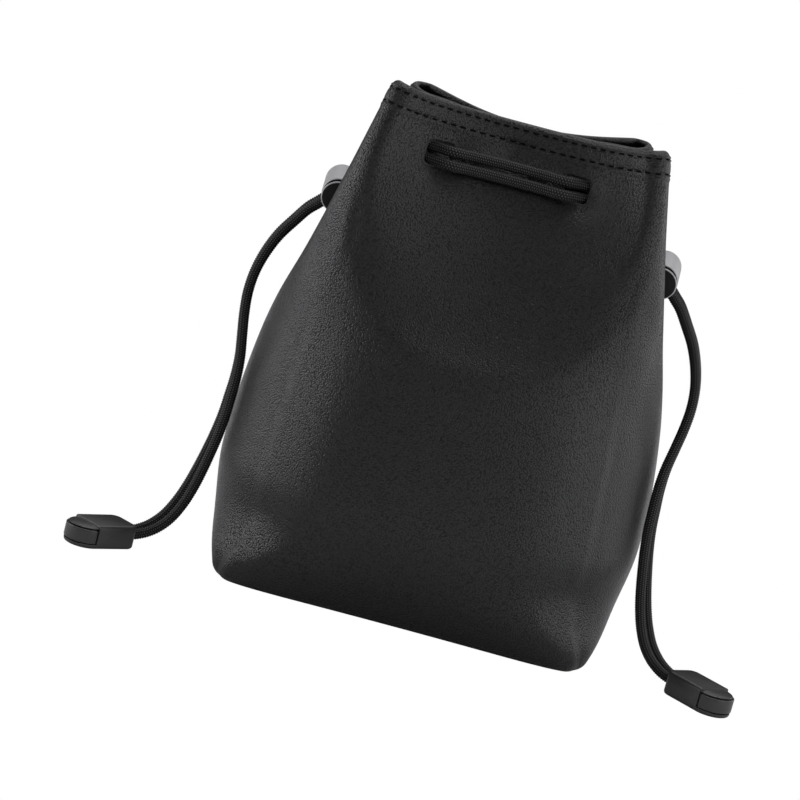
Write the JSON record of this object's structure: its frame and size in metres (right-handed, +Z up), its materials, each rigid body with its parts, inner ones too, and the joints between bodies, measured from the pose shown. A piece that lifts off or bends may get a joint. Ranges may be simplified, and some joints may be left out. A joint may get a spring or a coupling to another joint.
{
  "type": "drawstring camera pouch",
  "caption": "Soft black leather pouch on a flat base, drawn shut at the mouth by two braided cords with sprung barrel locks and clip-on cord ends.",
  "frame": {"origin": "middle of the flat base, on the surface that the pouch stands on", "axes": "+Z up, the front of the pouch faces -Y, +X to the right seen from the front"},
  "size_m": [0.2368, 0.117, 0.18],
  "materials": {
    "leather": "black, fine pebble grain, semi-matte",
    "plush": "black short pile",
    "board": "plain board",
    "braid": "black braid",
    "gunmetal": "satin",
    "plastic": "satin black",
    "spring_steel": "bright"
  },
  "bodies": {
    "bag": {"front_panel": "leather", "back_panel": "leather", "base_panel": "leather", "base_board": "board", "front_lining": "plush", "back_lining": "plush", "base_lining": "plush", "left_drawcord": "braid", "right_drawcord": "braid", "left_tail_front": "braid", "left_tail_back": "braid", "left_end_housing": "plastic", "left_end_bead": "braid", "right_tail_front": "braid", "right_tail_back": "braid", "right_end_housing": "plastic", "right_end_bead": "braid"},
    "left_lock": {"left_lock_barrel": "gunmetal", "left_lock_spring": "spring_steel"},
    "left_plunger": {"left_lock_plunger": "plastic"},
    "left_clip": {"left_end_clip": "plastic"},
    "right_lock": {"right_lock_barrel": "gunmetal", "right_lock_spring": "spring_steel"},
    "right_plunger": {"right_lock_plunger": "plastic"},
    "right_clip": {"right_end_clip": "plastic"}
  },
  "joints": [
    {"name": "left_lock_slide", "type": "slide", "parent": "bag", "child": "left_lock", "axis": [-0.6979, 0.1094, -0.7078], "range_m": [0, 0.008]},
    {"name": "left_plunger_press", "type": "slide", "parent": "left_lock", "child": "left_plunger", "axis": [-0.0502, 0.9784, 0.2007], "range_m": [0, 0.002], "stiffness_N_per_m": 400, "springref_m": -0.004, "deforming": ["left_lock_spring"]},
    {"name": "left_clip_release", "type": "slide", "parent": "bag", "child": "left_clip", "axis": [-0.6749, -0.7379, 0], "range_m": [0, 0.01]},
    {"name": "right_lock_slide", "type": "slide", "parent": "bag", "child": "right_lock", "axis": [0.6979, 0.1094, -0.7078], "range_m": [0, 0.008]},
    {"name": "right_plunger_press", "type": "slide", "parent": "right_lock", "child": "right_plunger", "axis": [0.0502, 0.9784, 0.2007], "range_m": [0, 0.002], "stiffness_N_per_m": 400, "springref_m": -0.004, "deforming": ["right_lock_spring"]},
    {"name": "right_clip_release", "type": "slide", "parent": "bag", "child": "right_clip", "axis": [0.6749, -0.7379, 0], "range_m": [0, 0.01]}
  ]
}
